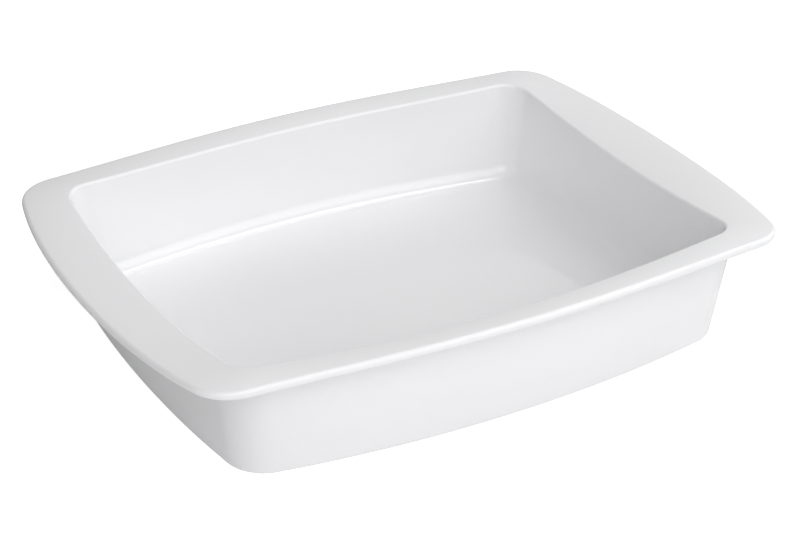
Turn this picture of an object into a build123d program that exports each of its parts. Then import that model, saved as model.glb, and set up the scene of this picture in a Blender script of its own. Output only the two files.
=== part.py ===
from build123d import *
from dataclasses import dataclass
from functools import cached_property
from math import cos, radians, sin
import os

os.makedirs("parts", exist_ok=True)

# Large lasagna dish in white glazed porcelain, one fired piece with a broad scooped handle at each end.
# Frame: the dish stands on Z = 0 with its centre on the origin.
# X runs from handle to handle, -Y is the front long side, and +Z is up. All sizes are in millimetres.


# Plan outlines

@dataclass
class Outline:
    """A four-sided outline whose sides bow outward and whose corners are rounded."""

    half_length: float
    half_width: float
    corner_x: float
    corner_y: float
    long_fullness: float
    end_fullness: float
    corner_radius: float

    def long_side(self, x):
        """Half width of the outline at a place along X."""
        u = x / self.corner_x
        bow = self.half_width - self.corner_y
        return self.half_width - bow * (self.long_fullness * u**2 + (1 - self.long_fullness) * u**4)

    def end_side(self, y):
        """Half length of the outline at a place along Y."""
        v = y / self.corner_y
        bow = self.half_length - self.corner_x
        return self.half_length - bow * (self.end_fullness * v**2 + (1 - self.end_fullness) * v**4)

    @cached_property
    def face(self):
        """The flat face inside the outline."""
        along_x = [self.corner_x * part / SPLINE_PARTS for part in range(-SPLINE_PARTS, SPLINE_PARTS + 1)]
        along_y = [self.corner_y * part / SPLINE_PARTS for part in range(-SPLINE_PARTS, SPLINE_PARTS + 1)]
        with BuildSketch() as shape:
            with BuildLine():
                Spline(*[(x, self.long_side(x)) for x in along_x])
                Spline(*[(x, -self.long_side(x)) for x in along_x])
                Spline(*[(self.end_side(y), y) for y in along_y])
                Spline(*[(-self.end_side(y), y) for y in along_y])
            make_face()
            fillet(shape.vertices(), radius=self.corner_radius)
        return shape.sketch.face()


SPLINE_PARTS = 3

# Outer edge of the rim and handles, which sets the overall length and width
RIM = Outline(200.0, 150.7, 181.4, 138.5, 1.62, 0.70, 26.0)
# Mouth of the basin, where the inner walls turn over into the rim
MOUTH = Outline(163.9, 131.7, 159.7, 119.3, 1.43, 0.67, 16.0)
# Foot of the outer walls on the table, and the same walls drawn up to the working height
BASE = Outline(165.2, 132.5, 156.8, 116.0, 0.95, 0.93, 25.0)
WALL_TOP = Outline(173.5, 139.9, 166.7, 126.3, 1.20, 0.80, 28.0)
# Foot of the inner walls at the basin floor, and the same walls drawn up to the working height
HOLLOW_FLOOR = Outline(157.2, 126.2, 150.6, 111.2, 1.00, 0.90, 14.0)
HOLLOW_TOP = Outline(166.6, 133.0, 160.7, 120.3, 1.40, 0.68, 16.0)
# Flat middle of the floor, inside the cove
FLOOR_FLAT = Outline(138.0, 107.0, 131.4, 92.0, 1.00, 0.90, 15.0)
# Shallow recess under the base, which leaves a bare foot ring round it
RECESS_MOUTH = Outline(157.7, 125.0, 149.3, 108.5, 0.95, 0.93, 17.5)
RECESS_ROOF = Outline(155.7, 123.0, 147.3, 106.5, 0.95, 0.93, 15.5)

# Heights
WORKING_HEIGHT = 77.0
FOOT_HEIGHT = 1.5
FLOOR_TOP = 8.0
# Level at which rim and handles are parted from the walls, just under the lowest neck
PARTING_HEIGHT = 52.0
# Heights of the rim's top at the middle of a long side, at the middle of a handle and at a corner
MOUTH_HEIGHTS = (68.6, 61.3, 71.6)
EDGE_HEIGHTS = (71.4, 66.6, 70.4)

# Thickness of the rim and handles, and how far their top rises over the straight line
RIM_THICKNESS = 4.6
RIM_CROWN = 0.85

# Radii
COVE_RADIUS = 12.0
NECK_RADIUS = 4.0
MOUTH_RADIUS = 3.0
CROWN_RADIUS = 45.0
RIM_UPPER_RADIUS = 2.6
RIM_LOWER_RADIUS = 1.5
FOOT_RADIUS = 1.3
# Depth that is ground off under the rounded foot to make it flat
FOOT_GRINDING = 0.1

# Upright cuts in which the profile is drawn: straight across the back at places along X, then turning
# about the pivot by angles from +Y towards +X, then straight across the end at places along Y
BACK_PLACES = [0, 40, 80]
PIVOT = Vector(118, 82)
MITRE_ANGLE = 49
BACK_ANGLES = [0, 16, 28, 34, 39, 44, MITRE_ANGLE]
END_ANGLES = [MITRE_ANGLE, 54.5, 60.5, 70, 90]
END_PLACES = [41, 0]
CUT_LENGTH = 250.0


def height_law(outline, heights):
    """Height as a + b x^2 + c y^2 that passes through the three given places of an outline."""
    at_long_side, at_end, at_corner = heights
    shift = (outline.corner_x / outline.half_length) ** 2
    rise = at_corner - at_long_side - shift * (at_end - at_long_side)
    c = rise / (outline.corner_y**2 - (1 - shift) * outline.half_width**2)
    a = at_long_side - c * outline.half_width**2
    b = (at_end - a) / outline.half_length**2
    return lambda point: a + b * point.X**2 + c * point.Y**2


mouth_height = height_law(MOUTH, MOUTH_HEIGHTS)
edge_height = height_law(RIM, EDGE_HEIGHTS)


def on_line(foot, head, height):
    """The point of a wall's line at a height."""
    return foot + (head - foot) * ((height - foot.Y) / (head.Y - foot.Y))


def meet(a, b, c, d):
    """Where the line through a and b crosses the line through c and d."""
    share = (c - a).cross(d - c).Z / (b - a).cross(d - c).Z
    return a + (b - a) * share


class Cut:
    """An upright cut through one side of the dish. Its points have a distance outward and a height."""

    def __init__(self, start, direction):
        self.start = start
        self.direction = direction
        self.plane = Plane(origin=start, x_dir=direction, z_dir=direction.cross(Vector(0, 0, 1)))
        self.floor_corner = Vector(self.reach(HOLLOW_FLOOR), FLOOR_TOP)
        self.inner_head = Vector(self.reach(HOLLOW_TOP), WORKING_HEIGHT)
        self.outer_foot = Vector(self.reach(BASE), 0)
        self.outer_head = Vector(self.reach(WALL_TOP), WORKING_HEIGHT)

    def reach(self, outline):
        """Distance from the cut's start to an outline."""
        ray = Edge.make_line(self.start, self.start + self.direction * CUT_LENGTH)
        return outline.face.intersect(ray).edge().length

    def height(self, law, outline):
        """Height that a law gives where the cut crosses an outline."""
        return law(self.start + self.direction * self.reach(outline))

    def draw(self, corners):
        """The face of a closed profile, given as pairs of a corner and its radius."""
        with BuildSketch(self.plane) as sketch:
            with BuildLine():
                points = [point for point, _ in corners]
                radii = [radius for _, radius in corners]
                FilletPolyline(*points, radius=radii, close=True)
            make_face()
        return sketch.sketch.face()

    def rim_profile(self):
        """The rim or handle: over the mouth, across the top, round the edge and back to the neck."""
        mouth = Vector(self.reach(MOUTH), self.height(mouth_height, MOUTH))
        edge = Vector(self.reach(RIM), self.height(edge_height, RIM))
        below = Vector(0, -RIM_THICKNESS)
        mouth_corner = meet(self.floor_corner, self.inner_head, mouth, edge)
        return self.draw([
            (on_line(self.floor_corner, self.inner_head, PARTING_HEIGHT), 0),
            (mouth_corner, MOUTH_RADIUS),
            ((mouth_corner + edge) * 0.5 + Vector(0, RIM_CROWN), CROWN_RADIUS),
            (edge, RIM_UPPER_RADIUS),
            (edge + below, RIM_LOWER_RADIUS),
            (meet(self.outer_foot, self.outer_head, mouth + below, edge + below), NECK_RADIUS),
            (on_line(self.outer_foot, self.outer_head, PARTING_HEIGHT), 0),
        ])

    def wall_profile(self):
        """The wall with the cove inside its foot, up to the parting level."""
        plate_edge = self.reach(FLOOR_FLAT)
        return self.draw([
            (on_line(self.floor_corner, self.inner_head, PARTING_HEIGHT), 0),
            (self.floor_corner, COVE_RADIUS),
            (Vector(plate_edge, FLOOR_TOP), 0),
            (Vector(plate_edge, FOOT_HEIGHT), 0),
            (on_line(self.outer_foot, self.outer_head, FOOT_HEIGHT), 0),
            (on_line(self.outer_foot, self.outer_head, PARTING_HEIGHT), 0),
        ])

    def foot_profile(self):
        """The bare band that the dish stands on, before it is ground flat."""
        recess_mouth = Vector(self.reach(RECESS_MOUTH), 0)
        recess_roof = Vector(self.reach(RECESS_ROOF), FOOT_HEIGHT)
        return self.draw([
            (on_line(self.outer_foot, self.outer_head, FOOT_HEIGHT), 0),
            (on_line(self.outer_foot, self.outer_head, -FOOT_GRINDING), FOOT_RADIUS),
            (on_line(recess_mouth, recess_roof, -FOOT_GRINDING), 0),
            (recess_roof, 0),
        ])


def turned_cut(angle):
    """The cut from the pivot in the direction that stands at an angle to +Y, towards +X."""
    return Cut(PIVOT, Vector(sin(radians(angle)), cos(radians(angle))))


back_cuts = [Cut(Vector(x, 0), Vector(0, 1)) for x in BACK_PLACES]
back_cuts += [turned_cut(angle) for angle in BACK_ANGLES]
end_cuts = [turned_cut(angle) for angle in END_ANGLES]
end_cuts += [Cut(Vector(0, y), Vector(1, 0)) for y in END_PLACES]

# Foot ring: the bare band that the dish stands on, ground flat underneath
with BuildPart() as foot_ring:
    loft([cut.foot_profile() for cut in back_cuts], ruled=True)
    loft([cut.foot_profile() for cut in end_cuts], ruled=True)
    mirror(about=Plane.YZ)
    mirror(about=Plane.XZ)
    with BuildSketch(Plane.XY):
        Rectangle(2 * CUT_LENGTH, 2 * CUT_LENGTH)
    extrude(amount=FOOT_HEIGHT, mode=Mode.INTERSECT)
foot_ring.part.label = "foot_ring"

# Back long side: rim and wall
with BuildPart() as back_rim:
    loft([cut.rim_profile() for cut in back_cuts], ruled=True)
    mirror(about=Plane.YZ)
back_rim.part.label = "back_rim"

with BuildPart() as back_wall:
    loft([cut.wall_profile() for cut in back_cuts], ruled=True)
    mirror(about=Plane.YZ)
back_wall.part.label = "back_wall"

# Right end: handle and wall
with BuildPart() as right_handle:
    loft([cut.rim_profile() for cut in end_cuts], ruled=True)
    mirror(about=Plane.XZ)
right_handle.part.label = "right_handle"

with BuildPart() as right_wall:
    loft([cut.wall_profile() for cut in end_cuts], ruled=True)
    mirror(about=Plane.XZ)
right_wall.part.label = "right_wall"

# Front long side and left end: the same, mirrored
with BuildPart() as front_rim:
    add(back_rim.part)
    mirror(about=Plane.XZ, mode=Mode.REPLACE)
front_rim.part.label = "front_rim"

with BuildPart() as front_wall:
    add(back_wall.part)
    mirror(about=Plane.XZ, mode=Mode.REPLACE)
front_wall.part.label = "front_wall"

with BuildPart() as left_handle:
    add(right_handle.part)
    mirror(about=Plane.YZ, mode=Mode.REPLACE)
left_handle.part.label = "left_handle"

with BuildPart() as left_wall:
    add(right_wall.part)
    mirror(about=Plane.YZ, mode=Mode.REPLACE)
left_wall.part.label = "left_wall"

# Basin floor: the flat plate inside the cove, met by the walls at the same cuts
with BuildPart() as basin_floor:
    with BuildSketch(Plane.XY.offset(FOOT_HEIGHT)):
        with BuildLine():
            cuts = back_cuts + end_cuts[1:]
            plate_edge = [cut.start + cut.direction * cut.reach(FLOOR_FLAT) for cut in cuts]
            Polyline(*plate_edge, (0, 0), close=True)
        make_face()
        mirror(about=Plane.YZ)
        mirror(about=Plane.XZ)
    extrude(amount=FLOOR_TOP - FOOT_HEIGHT)
basin_floor.part.label = "basin_floor"

regions = [foot_ring, basin_floor, back_rim, back_wall, front_rim, front_wall]
regions += [right_handle, right_wall, left_handle, left_wall]
for region in regions:
    export_step(region.part, f"parts/{region.part.label}.step")

total = sum(region.part.volume for region in regions)
print(f"volume of all regions {total / 1000:.1f} cm3")
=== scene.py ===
from dataclasses import dataclass
import math

import bpy
import numpy as np
from mathutils import Matrix, Vector


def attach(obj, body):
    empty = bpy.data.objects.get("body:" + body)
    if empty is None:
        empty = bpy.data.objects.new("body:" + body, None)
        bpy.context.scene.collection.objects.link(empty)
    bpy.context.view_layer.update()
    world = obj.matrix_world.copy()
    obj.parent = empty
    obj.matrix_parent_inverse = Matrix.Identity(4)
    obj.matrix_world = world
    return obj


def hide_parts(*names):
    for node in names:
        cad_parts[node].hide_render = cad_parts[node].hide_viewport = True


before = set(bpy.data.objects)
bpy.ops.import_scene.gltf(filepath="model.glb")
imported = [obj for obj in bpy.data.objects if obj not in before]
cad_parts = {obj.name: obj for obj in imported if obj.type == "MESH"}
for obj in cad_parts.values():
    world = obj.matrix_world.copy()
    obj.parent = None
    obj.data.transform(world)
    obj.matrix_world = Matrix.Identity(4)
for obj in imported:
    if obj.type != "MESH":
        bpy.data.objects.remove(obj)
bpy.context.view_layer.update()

# The dish's shape is set out in millimetres, as it is drawn, and made in metres
MM = 0.001


# Plan outlines

@dataclass
class Outline:
    """A four-sided outline whose sides bow outward and whose corners are rounded."""

    half_length: float
    half_width: float
    corner_x: float
    corner_y: float
    long_fullness: float
    end_fullness: float
    corner_radius: float

    def long_side(self, x):
        """Half width of the outline at a place along X."""
        u = x / self.corner_x
        bow = self.half_width - self.corner_y
        return self.half_width - bow * (self.long_fullness * u**2 + (1 - self.long_fullness) * u**4)

    def end_side(self, y):
        """Half length of the outline at a place along Y."""
        v = y / self.corner_y
        bow = self.half_length - self.corner_x
        return self.half_length - bow * (self.end_fullness * v**2 + (1 - self.end_fullness) * v**4)


# Half length, half width, where the corners lie, how full the two sides are, corner radius
RIM = Outline(200.0, 150.7, 181.4, 138.5, 1.62, 0.70, 26.0)
MOUTH = Outline(163.9, 131.7, 159.7, 119.3, 1.43, 0.67, 16.0)
BASE = Outline(165.2, 132.5, 156.8, 116.0, 0.95, 0.93, 25.0)
WALL_TOP = Outline(173.5, 139.9, 166.7, 126.3, 1.20, 0.80, 28.0)
HOLLOW_FLOOR = Outline(157.2, 126.2, 150.6, 111.2, 1.00, 0.90, 14.0)
RECESS_MOUTH = Outline(157.7, 125.0, 149.3, 108.5, 0.95, 0.93, 17.5)
RECESS_ROOF = Outline(155.7, 123.0, 147.3, 106.5, 0.95, 0.93, 15.5)

WORKING_HEIGHT = 77.0
FOOT_HEIGHT = 1.5
FLOOR_TOP = 8.0
RIM_THICKNESS = 4.6
RIM_CROWN = 0.6
COVE_RADIUS = 12.0
NECK_RADIUS = 4.0
MOUTH_RADIUS = 2.2
RIM_UPPER_RADIUS = 2.6
RIM_LOWER_RADIUS = 1.5
FOOT_OUTER_RADIUS = 1.3
FOOT_INNER_RADIUS = 0.5
# Heights in the middle of a long side, in the middle of an end and at a corner
MOUTH_HEIGHTS = (68.6, 61.3, 71.6)
EDGE_HEIGHTS = (71.4, 66.6, 70.4)

# Stations round one quarter: along the back side, round the corner and along the right end
BACK_STEPS = 34
CORNER_STEPS = 22
END_STEPS = 26

# Steps over each stretch of the cross-section, from the middle of the basin out and under
FLOOR_STEPS = 14
COVE_STEPS = 20
INNER_WALL_STEPS = 8
EDGE_STEPS = 9
CROWN_STEPS = 10
RIM_FACE_STEPS = 2
RIM_LOWER_STEPS = 7
RIM_UNDER_STEPS = 4
NECK_STEPS = 8
OUTER_WALL_STEPS = 10
FOOT_STEPS = 8
RECESS_EDGE_STEPS = 4
RECESS_WALL_STEPS = 3
UNDERSIDE_STEPS = 10
BARE_FACE_STEPS = 6

# A small step, in millimetres, over which slopes are taken
NUDGE = 0.01
# Rounds that close in on a corner's arc and on the neck's height
ARC_ROUNDS = 12
NECK_ROUNDS = 5


def side_point(outline, x):
    """Point of the back side at x, and the unit normal that points into the outline."""
    slope = (outline.long_side(x + NUDGE) - outline.long_side(x - NUDGE)) / (2 * NUDGE)
    return np.array([x, outline.long_side(x)]), np.array([slope, -1.0]) / math.hypot(slope, 1.0)


def end_point(outline, y):
    """Point of the right end at y, and the unit normal that points into the outline."""
    slope = (outline.end_side(y + NUDGE) - outline.end_side(y - NUDGE)) / (2 * NUDGE)
    return np.array([outline.end_side(y), y]), np.array([-1.0, slope]) / math.hypot(slope, 1.0)


def corner_round(outline):
    """Where the corner's arc leaves the two sides, x on the back and y on the end, and its centre."""
    radius = outline.corner_radius

    def gap(place):
        back, back_in = side_point(outline, place[0])
        end, end_in = end_point(outline, place[1])
        return back + radius * back_in - end - radius * end_in

    place = np.array([outline.corner_x - radius, outline.corner_y - radius])
    for _ in range(ARC_ROUNDS):
        here = gap(place)
        shifts = NUDGE * np.eye(2)
        columns = [(gap(place + shift) - here) / NUDGE for shift in shifts]
        place = place - np.linalg.solve(np.array(columns).T, here)
    back, back_in = side_point(outline, place[0])
    return place[0], place[1], back + radius * back_in


def quarter_line(outline):
    """Plan points from the middle of the back side round the corner to the middle of the right end."""
    back_x, end_y, centre = corner_round(outline)
    back = [side_point(outline, back_x * step / BACK_STEPS)[0] for step in range(BACK_STEPS)]
    start = side_point(outline, back_x)[0] - centre
    end = end_point(outline, end_y)[0] - centre
    first = math.atan2(start[1], start[0])
    last = math.atan2(end[1], end[0])
    corner = []
    for step in range(CORNER_STEPS + 1):
        angle = first + (last - first) * step / CORNER_STEPS
        corner.append(centre + outline.corner_radius * np.array([math.cos(angle), math.sin(angle)]))
    right = [end_point(outline, end_y * (1 - step / END_STEPS))[0] for step in range(1, END_STEPS + 1)]
    return np.array(back + corner + right)


def whole_line(outline):
    """Plan points all the way round, clockwise from the middle of the back side."""
    quarter = quarter_line(outline)
    front_right = quarter[::-1] * (1, -1)
    front_left = quarter * (-1, -1)
    back_left = quarter[::-1] * (-1, 1)
    return np.vstack([quarter[:-1], front_right[:-1], front_left[:-1], back_left[:-1]])


def height_law(outline, heights):
    """Height as a + b x^2 + c y^2 that passes through the three given places of an outline."""
    at_long_side, at_end, at_corner = heights
    shift = (outline.corner_x / outline.half_length) ** 2
    rise = at_corner - at_long_side - shift * (at_end - at_long_side)
    c = rise / (outline.corner_y**2 - (1 - shift) * outline.half_width**2)
    a = at_long_side - c * outline.half_width**2
    b = (at_end - a) / outline.half_length**2
    return lambda points: a + b * points[:, 0] ** 2 + c * points[:, 1] ** 2


def at_height(plan, height):
    """Plan points raised to a height, one for all or one for each."""
    heights = np.broadcast_to(height, len(plan))
    return np.column_stack([plan, heights])


def unit(rows):
    """Rows of vectors brought to length 1."""
    return rows / np.linalg.norm(rows, axis=1, keepdims=True)


def round_corner(before, corner, after, radius, steps):
    """Rows of points on the arc that rounds the corner between two straight lines, for every station."""
    to_before = unit(before - corner)
    to_after = unit(after - corner)
    half = np.arccos(np.clip((to_before * to_after).sum(axis=1), -1, 1)) / 2
    centre = corner + unit(to_before + to_after) * (radius / np.sin(half))[:, None]
    start = corner + to_before * (radius / np.tan(half))[:, None] - centre
    end = corner + to_after * (radius / np.tan(half))[:, None] - centre
    turn = np.pi - 2 * half
    rows = []
    for step in range(steps + 1):
        t = step / steps
        mix_start = (np.sin((1 - t) * turn) / np.sin(turn))[:, None]
        mix_end = (np.sin(t * turn) / np.sin(turn))[:, None]
        rows.append(centre + start * mix_start + end * mix_end)
    return rows


def straight(start, end, steps):
    """Rows of points between two rows, without the rows themselves."""
    return [start + (end - start) * step / steps for step in range(1, steps)]


def curved(start, control, end, steps):
    """Rows between two rows on the curve that leaves both towards a control row."""
    rows = []
    for step in range(1, steps):
        t = step / steps
        rows.append(start * (1 - t) ** 2 + control * 2 * t * (1 - t) + end * t**2)
    return rows


# Cross-section rows, each a closed line round the dish
mouth_plan = whole_line(MOUTH)
rim_plan = whole_line(RIM)
base_plan = whole_line(BASE)
wall_top_plan = whole_line(WALL_TOP)

floor_edge = at_height(whole_line(HOLLOW_FLOOR), FLOOR_TOP)
mouth = at_height(mouth_plan, height_law(MOUTH, MOUTH_HEIGHTS)(mouth_plan))
rim_top = at_height(rim_plan, height_law(RIM, EDGE_HEIGHTS)(rim_plan))
# A control row: the curve drawn towards it rises half as far, which is the crown
crown = (mouth + rim_top) / 2 + np.array([0, 0, 2 * RIM_CROWN])
down = np.array([0, 0, RIM_THICKNESS])
rim_bottom = rim_top - down
under_mouth = mouth - down
base = at_height(base_plan, 0)
recess_mouth = at_height(whole_line(RECESS_MOUTH), 0)
recess_roof = at_height(whole_line(RECESS_ROOF), FOOT_HEIGHT)

# The neck, where the outer wall's line meets the rim's underside
wall_rise = at_height((wall_top_plan - base_plan) / WORKING_HEIGHT, 1)
across = unit(rim_plan - mouth_plan)
under_slope = (rim_bottom - under_mouth)[:, 2] / np.linalg.norm(rim_plan - mouth_plan, axis=1)
neck_height = under_mouth[:, 2]
for _ in range(NECK_ROUNDS):
    spot = base + wall_rise * neck_height[:, None]
    neck_height = under_mouth[:, 2] + under_slope * ((spot[:, :2] - mouth_plan) * across).sum(axis=1)
neck = base + wall_rise * neck_height[:, None]

centre_top = np.zeros_like(base) + np.array([0, 0, FLOOR_TOP])
centre_under = np.zeros_like(base) + np.array([0, 0, FOOT_HEIGHT])

cove = round_corner(centre_top, floor_edge, mouth, COVE_RADIUS, COVE_STEPS)
mouth_round = round_corner(floor_edge, mouth, crown, MOUTH_RADIUS, EDGE_STEPS)
upper_round = round_corner(crown, rim_top, rim_bottom, RIM_UPPER_RADIUS, EDGE_STEPS)
lower_round = round_corner(rim_top, rim_bottom, neck, RIM_LOWER_RADIUS, RIM_LOWER_STEPS)
neck_round = round_corner(rim_bottom, neck, base, NECK_RADIUS, NECK_STEPS)
foot_round = round_corner(neck, base, recess_mouth, FOOT_OUTER_RADIUS, FOOT_STEPS)
recess_round = round_corner(base, recess_mouth, recess_roof, FOOT_INNER_RADIUS, RECESS_EDGE_STEPS)

# The glaze stops a little above the table, on the outer and the inner rounding of the foot
GLAZE_STOP = 5
GLAZE_START = 2
glaze_outer = foot_round[: GLAZE_STOP + 1]
bare_outer = foot_round[GLAZE_STOP:]
glaze_inner = recess_round[GLAZE_START:]
bare_inner = recess_round[: GLAZE_START + 1]

rows = straight(centre_top, cove[0], FLOOR_STEPS) + cove
rows += straight(cove[-1], mouth_round[0], INNER_WALL_STEPS) + mouth_round
rows += curved(mouth_round[-1], crown, upper_round[0], CROWN_STEPS) + upper_round
rows += straight(upper_round[-1], lower_round[0], RIM_FACE_STEPS) + lower_round
rows += straight(lower_round[-1], neck_round[0], RIM_UNDER_STEPS) + neck_round
rows += straight(neck_round[-1], glaze_outer[0], OUTER_WALL_STEPS) + glaze_outer
rows += straight(glaze_outer[-1], glaze_inner[0], RECESS_WALL_STEPS) + glaze_inner
rows += straight(glaze_inner[-1], centre_under, UNDERSIDE_STEPS)


def grid_object(name, rows, first_tip, last_tip, closed=False):
    """A smooth mesh of quads through rows of points, with its ends closed by fans or joined to each other."""
    count = len(rows[0])
    vertices = np.vstack(rows) * MM
    faces = []
    last = len(rows) if closed else len(rows) - 1
    for row in range(last):
        below = ((row + 1) % len(rows)) * count
        here = row * count
        for place in range(count):
            beside = (place + 1) % count
            faces.append((here + place, below + place, below + beside, here + beside))
    tips = []
    if first_tip is not None:
        tips.append(first_tip)
        tip = len(vertices)
        faces += [(tip, place, (place + 1) % count) for place in range(count)]
    if last_tip is not None:
        tip = len(vertices) + len(tips)
        tips.append(last_tip)
        start = (len(rows) - 1) * count
        faces += [(tip, start + (place + 1) % count, start + place) for place in range(count)]
    if tips:
        vertices = np.vstack([vertices, np.array(tips) * MM])
    mesh = bpy.data.meshes.new(name)
    mesh.from_pydata(vertices.tolist(), [], faces)
    mesh.validate()
    mesh.polygons.foreach_set("use_smooth", np.ones(len(mesh.polygons), dtype=bool))
    piece = bpy.data.objects.new(name, mesh)
    bpy.context.scene.collection.objects.link(piece)
    return piece


glazed = grid_object("glazed_dish", rows, centre_top[0], centre_under[0])

# The bare band under the foot, closed inside the porcelain
BAND_DEPTH = 0.5
bare_rows = bare_outer + straight(bare_outer[-1], bare_inner[0], BARE_FACE_STEPS) + bare_inner
inside = np.array([0, 0, BAND_DEPTH])
bare_rows += [bare_inner[-1] + inside, bare_outer[0] + inside]
bare = grid_object("bare_foot", bare_rows, None, None, closed=True)

for piece, slot in ((glazed, "white_glaze"), (bare, "bare_porcelain")):
    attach(piece, "root")
regions = ["basin_floor", "front_wall", "back_wall", "left_wall", "right_wall"]
regions += ["front_rim", "back_rim", "left_handle", "right_handle"]
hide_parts(*regions)
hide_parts("foot_ring")


# Materials

def material(name):
    """A new material with its node tree and its shader."""
    made = bpy.data.materials.new(name)
    made.use_nodes = True
    tree = made.node_tree
    tree.nodes.clear()
    output = tree.nodes.new("ShaderNodeOutputMaterial")
    shader = tree.nodes.new("ShaderNodeBsdfPrincipled")
    tree.links.new(shader.outputs["BSDF"], output.inputs["Surface"])
    return made, tree, shader


def noise(tree, where, scale, detail):
    """Noise of a scale, in cycles per metre, with a number of finer octaves."""
    node = tree.nodes.new("ShaderNodeTexNoise")
    node.inputs["Scale"].default_value = scale
    node.inputs["Detail"].default_value = detail
    tree.links.new(where, node.inputs["Vector"])
    return node.outputs["Fac"]


# Nearly all of the noise lies between these two values
NOISE_LOW = 0.3
NOISE_HIGH = 0.7


def spread(tree, value, low, high):
    """Noise, which stays near its middle, spread over a range."""
    node = tree.nodes.new("ShaderNodeMapRange")
    node.inputs["From Min"].default_value = NOISE_LOW
    node.inputs["From Max"].default_value = NOISE_HIGH
    node.inputs["To Min"].default_value = low
    node.inputs["To Max"].default_value = high
    tree.links.new(value, node.inputs["Value"])
    return node.outputs["Result"]


def mixed_colour(tree, fac, first, second):
    """A colour between two colours, by a factor."""
    node = tree.nodes.new("ShaderNodeMix")
    node.data_type = "RGBA"
    tree.links.new(fac, node.inputs["Factor"])
    for socket, colour in (("A", first), ("B", second)):
        found = [item for item in node.inputs if item.name == socket and item.type == "RGBA"][0]
        found.default_value = (*colour, 1)
    return [item for item in node.outputs if item.type == "RGBA"][0]


def bump(tree, height, distance, before=None):
    """A normal from a height, laid over an earlier normal if there is one."""
    node = tree.nodes.new("ShaderNodeBump")
    node.inputs["Strength"].default_value = 1.0
    node.inputs["Distance"].default_value = distance
    tree.links.new(height, node.inputs["Height"])
    if before is not None:
        tree.links.new(before, node.inputs["Normal"])
    return node.outputs["Normal"]


# White glaze. Scales are noise cycles per metre with their octaves, and heights are in metres.

GLAZE_COOL = (0.872, 0.872, 0.886)
GLAZE_BRIGHT = (0.888, 0.888, 0.899)
GLAZE_CLOUDS = (9, 3)
GLAZE_ROUGHNESS = (0.03, 0.06)
GLAZE_WIPES = (60, 4)
GLAZE_IOR = 1.5
RIPPLE = (22, 2)
RIPPLE_HEIGHT = 0.00012
PEEL = (420, 2)
PEEL_HEIGHT = 0.000004

glaze, tree, shader = material("white_glaze_finish")
where = tree.nodes.new("ShaderNodeTexCoord").outputs["Object"]
cloud = spread(tree, noise(tree, where, *GLAZE_CLOUDS), 0, 1)
tree.links.new(mixed_colour(tree, cloud, GLAZE_COOL, GLAZE_BRIGHT), shader.inputs["Base Color"])
wipes = spread(tree, noise(tree, where, *GLAZE_WIPES), *GLAZE_ROUGHNESS)
tree.links.new(wipes, shader.inputs["Roughness"])
shader.inputs["IOR"].default_value = GLAZE_IOR
ripple = bump(tree, noise(tree, where, *RIPPLE), RIPPLE_HEIGHT)
peel = bump(tree, noise(tree, where, *PEEL), PEEL_HEIGHT, ripple)
tree.links.new(peel, shader.inputs["Normal"])
glazed.data.materials.append(glaze)

# Bare porcelain of the foot, ground and stained by use

BARE_STAINED = (0.64, 0.615, 0.57)
BARE_CLEAN = (0.76, 0.74, 0.70)
STAINS = (45, 6)
BARE_ROUGHNESS = (0.75, 0.95)
WEAR = (300, 3)
GRAIN = (2200, 4)
GRAIN_HEIGHT = 0.00006

bisque, tree, shader = material("bare_porcelain_finish")
where = tree.nodes.new("ShaderNodeTexCoord").outputs["Object"]
stain = spread(tree, noise(tree, where, *STAINS), 0, 1)
tree.links.new(mixed_colour(tree, stain, BARE_STAINED, BARE_CLEAN), shader.inputs["Base Color"])
wear = spread(tree, noise(tree, where, *WEAR), *BARE_ROUGHNESS)
tree.links.new(wear, shader.inputs["Roughness"])
tree.links.new(bump(tree, noise(tree, where, *GRAIN), GRAIN_HEIGHT), shader.inputs["Normal"])
bare.data.materials.append(bisque)


# Floor and light

FLOOR_SIZE = 6.0
PAPER_WHITE = 0.88
PAPER_ROUGHNESS = 0.9
PAPER_SHEEN = 0.1
PAPER_LIFT = 0.7
half = FLOOR_SIZE / 2
floor_mesh = bpy.data.meshes.new("studio_floor")
corners = [(-half, -half, 0), (half, -half, 0), (half, half, 0), (-half, half, 0)]
floor_mesh.from_pydata(corners, [], [(0, 1, 2, 3)])
floor = bpy.data.objects.new("studio_floor", floor_mesh)
bpy.context.scene.collection.objects.link(floor)
paper, tree, shader = material("studio_paper")
shader.inputs["Base Color"].default_value = (PAPER_WHITE, PAPER_WHITE, PAPER_WHITE, 1)
shader.inputs["Roughness"].default_value = PAPER_ROUGHNESS
shader.inputs["Specular IOR Level"].default_value = PAPER_SHEEN
# The camera sees the paper brighter than it lights the dish, so it goes white outside the shadow
shader.inputs["Emission Color"].default_value = (1, 1, 1, 1)
seen_rays = tree.nodes.new("ShaderNodeLightPath")
lift = tree.nodes.new("ShaderNodeMath")
lift.operation = "MULTIPLY"
lift.inputs[1].default_value = PAPER_LIFT
tree.links.new(seen_rays.outputs["Is Camera Ray"], lift.inputs[0])
tree.links.new(lift.outputs["Value"], shader.inputs["Emission Strength"])
floor.data.materials.append(paper)

# Lamps: azimuth from -Y towards +X and elevation in degrees, width, height and power
LAMP_TARGET = Vector((0, 0, 0.03))
LAMP_DISTANCE = 1.6
WORLD_LEVEL = 0.12
LAMPS = {
    "front_softbox": (0, 33, 2.8, 1.6, 18.2),
    "camera_softbox": (-35, 40, 1.2, 0.9, 4.8),
    "right_softbox": (88, 33, 0.9, 0.9, 7.0),
    "left_softbox": (-95, 15, 0.9, 0.7, 1.6),
    "overhead_strip": (90, 64, 0.2, 0.9, 5.0),
}


def direction(azimuth, elevation):
    """Unit vector towards an azimuth from -Y towards +X and an elevation, in degrees."""
    azimuth = math.radians(azimuth)
    elevation = math.radians(elevation)
    level = math.cos(elevation)
    return Vector((math.sin(azimuth) * level, -math.cos(azimuth) * level, math.sin(elevation)))


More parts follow.
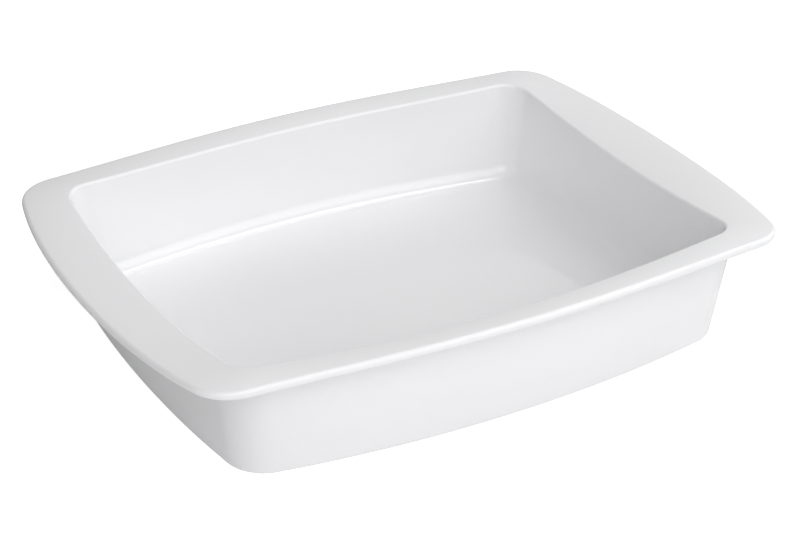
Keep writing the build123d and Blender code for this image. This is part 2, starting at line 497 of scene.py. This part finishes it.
for name, (lamp_azimuth, lamp_elevation, width, height, power) in LAMPS.items():
    light = bpy.data.lights.new(name, "AREA")
    light.shape = "RECTANGLE"
    light.size = width
    light.size_y = height
    light.energy = power
    lamp = bpy.data.objects.new(name, light)
    bpy.context.scene.collection.objects.link(lamp)
    towards = direction(lamp_azimuth, lamp_elevation)
    lamp.location = LAMP_TARGET + towards * LAMP_DISTANCE
    lamp.rotation_euler = towards.to_track_quat("Z", "Y").to_euler()
    lamp.visible_camera = False

# The camera and the reflections see white surroundings, which light the dish only weakly
world = bpy.data.worlds.new("studio")
bpy.context.scene.world = world
world.use_nodes = True
tree = world.node_tree
tree.nodes.clear()
output = tree.nodes.new("ShaderNodeOutputWorld")
rays = tree.nodes.new("ShaderNodeLightPath")
seen = tree.nodes.new("ShaderNodeBackground")
seen.inputs["Color"].default_value = (1, 1, 1, 1)
lit = tree.nodes.new("ShaderNodeBackground")
lit.inputs["Color"].default_value = (1, 1, 1, 1)
lit.inputs["Strength"].default_value = WORLD_LEVEL
either = tree.nodes.new("ShaderNodeMath")
either.operation = "MAXIMUM"
tree.links.new(rays.outputs["Is Camera Ray"], either.inputs[0])
tree.links.new(rays.outputs["Is Glossy Ray"], either.inputs[1])
choose = tree.nodes.new("ShaderNodeMixShader")
tree.links.new(either.outputs["Value"], choose.inputs["Fac"])
tree.links.new(lit.outputs["Background"], choose.inputs[1])
tree.links.new(seen.outputs["Background"], choose.inputs[2])
tree.links.new(choose.outputs["Shader"], output.inputs["Surface"])


# Camera, at the photograph's viewing angle

CAMERA_AZIMUTH = -29.62
CAMERA_ELEVATION = 29.03
CAMERA_DISTANCE = 1.3842
CAMERA_TARGET = Vector((0.0224, 0.0321, 0.0048))
CAMERA_LENS = 100.3
SENSOR_WIDTH = 36.0
CAMERA_CLIP = (0.05, 50.0)

back = direction(CAMERA_AZIMUTH, CAMERA_ELEVATION)
azimuth = math.radians(CAMERA_AZIMUTH)
right = Vector((math.cos(azimuth), math.sin(azimuth), 0))
up = back.cross(right)
camera_data = bpy.data.cameras.new("camera")
camera = bpy.data.objects.new("camera", camera_data)
bpy.context.scene.collection.objects.link(camera)
camera.matrix_world = Matrix.Translation(CAMERA_TARGET + back * CAMERA_DISTANCE) @ Matrix((
    (right.x, up.x, back.x, 0),
    (right.y, up.y, back.y, 0),
    (right.z, up.z, back.z, 0),
    (0, 0, 0, 1),
))
camera_data.lens = CAMERA_LENS
camera_data.sensor_width = SENSOR_WIDTH
camera_data.sensor_fit = "HORIZONTAL"
camera_data.clip_start, camera_data.clip_end = CAMERA_CLIP
bpy.context.scene.camera = camera
bpy.context.scene.view_settings.view_transform = "Standard"
